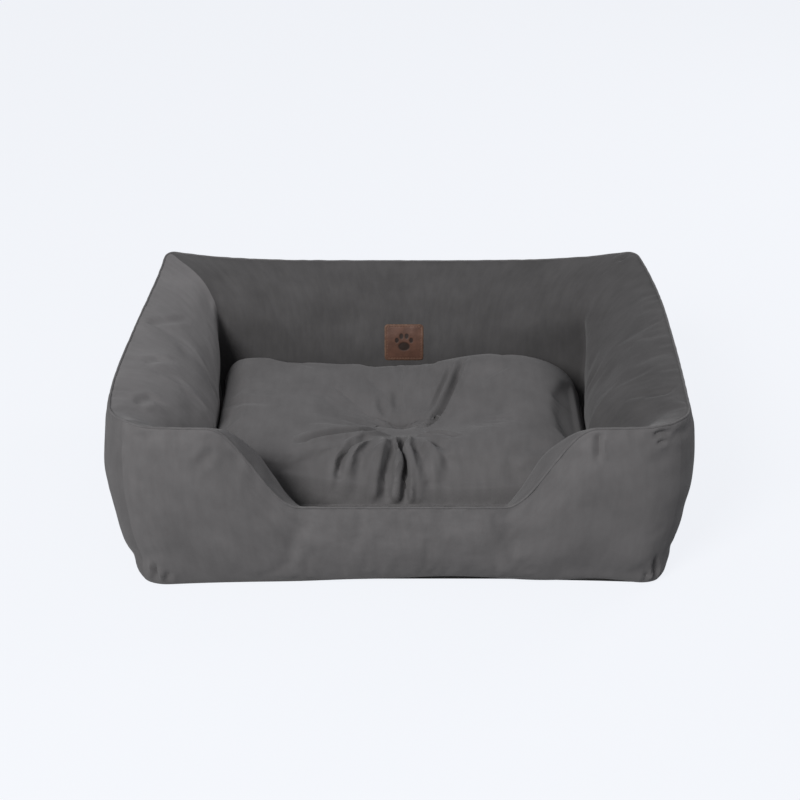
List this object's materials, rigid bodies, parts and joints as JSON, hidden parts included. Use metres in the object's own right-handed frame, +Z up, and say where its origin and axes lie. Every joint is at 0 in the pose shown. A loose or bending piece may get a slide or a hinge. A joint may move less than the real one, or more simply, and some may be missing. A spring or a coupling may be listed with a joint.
{
  "type": "pet bed",
  "caption": "Rectangular pet bed: four stuffed walls round a padded base, a low scooped entry in the front wall, and a loose tufted cushion inside.",
  "frame": {"origin": "on the floor, at the middle of the bed's outer box", "axes": "+Z up, +X to the right of someone facing the bed, -Y towards the front, where the entry is"},
  "size_m": [0.7038, 0.5118, 0.235],
  "materials": {
    "charcoal_cloth": "matt brushed woven cloth, charcoal grey",
    "fibre": "white polyester fibre",
    "grey_thread": "sewn seam, charcoal",
    "underside_cloth": "black non-slip cloth",
    "tan_leather": "matt brown grained leather",
    "tan_thread": "waxed thread",
    "zip_tape": "black woven tape",
    "zip_chain": "black nylon coil",
    "nickel": "nickel plated"
  },
  "bodies": {
    "bed": {"base_underside": "underside_cloth", "base_wadding": "fibre", "base_lining": "charcoal_cloth", "front_wall_outer_panel": "charcoal_cloth", "front_wall_inner_panel": "charcoal_cloth", "front_wall_filling": "fibre", "back_wall_outer_panel": "charcoal_cloth", "back_wall_inner_panel": "charcoal_cloth", "back_wall_filling": "fibre", "left_wall_outer_panel": "charcoal_cloth", "left_wall_inner_panel": "charcoal_cloth", "left_wall_filling": "fibre", "right_wall_outer_panel": "charcoal_cloth", "right_wall_inner_panel": "charcoal_cloth", "right_wall_filling": "fibre", "ridge_seam": "grey_thread", "label_patch": "tan_leather", "label_thread": "tan_thread"},
    "cushion": {"cushion_top_panel": "charcoal_cloth", "cushion_bottom_panel": "charcoal_cloth", "cushion_filling": "fibre", "cushion_edge_seam": "grey_thread", "tuft_tie": "grey_thread", "zip_tape_upper": "zip_tape", "zip_tape_lower": "zip_tape", "zip_chain": "zip_chain", "zip_stop_closed": "nickel", "zip_stop_open": "nickel"},
    "zip_slider": {"zip_slider": "nickel"},
    "zip_pull_tab": {"zip_pull_tab": "nickel"}
  },
  "joints": [
    {"name": "cushion_lift", "type": "slide", "parent": "bed", "child": "cushion", "axis": [0, 0, 1], "range_m": [0, 0.25]},
    {"name": "zip_slide", "type": "slide", "parent": "cushion", "child": "zip_slider", "axis": [1, 0, 0], "range_m": [-0.196, 0]},
    {"name": "pull_tab_swing", "type": "hinge", "parent": "zip_slider", "child": "zip_pull_tab", "pos_m": [0.098, 0.1439, 0.02262], "axis": [0, 0.7312, 0.6821], "range_deg": [-80, 80]}
  ]
}
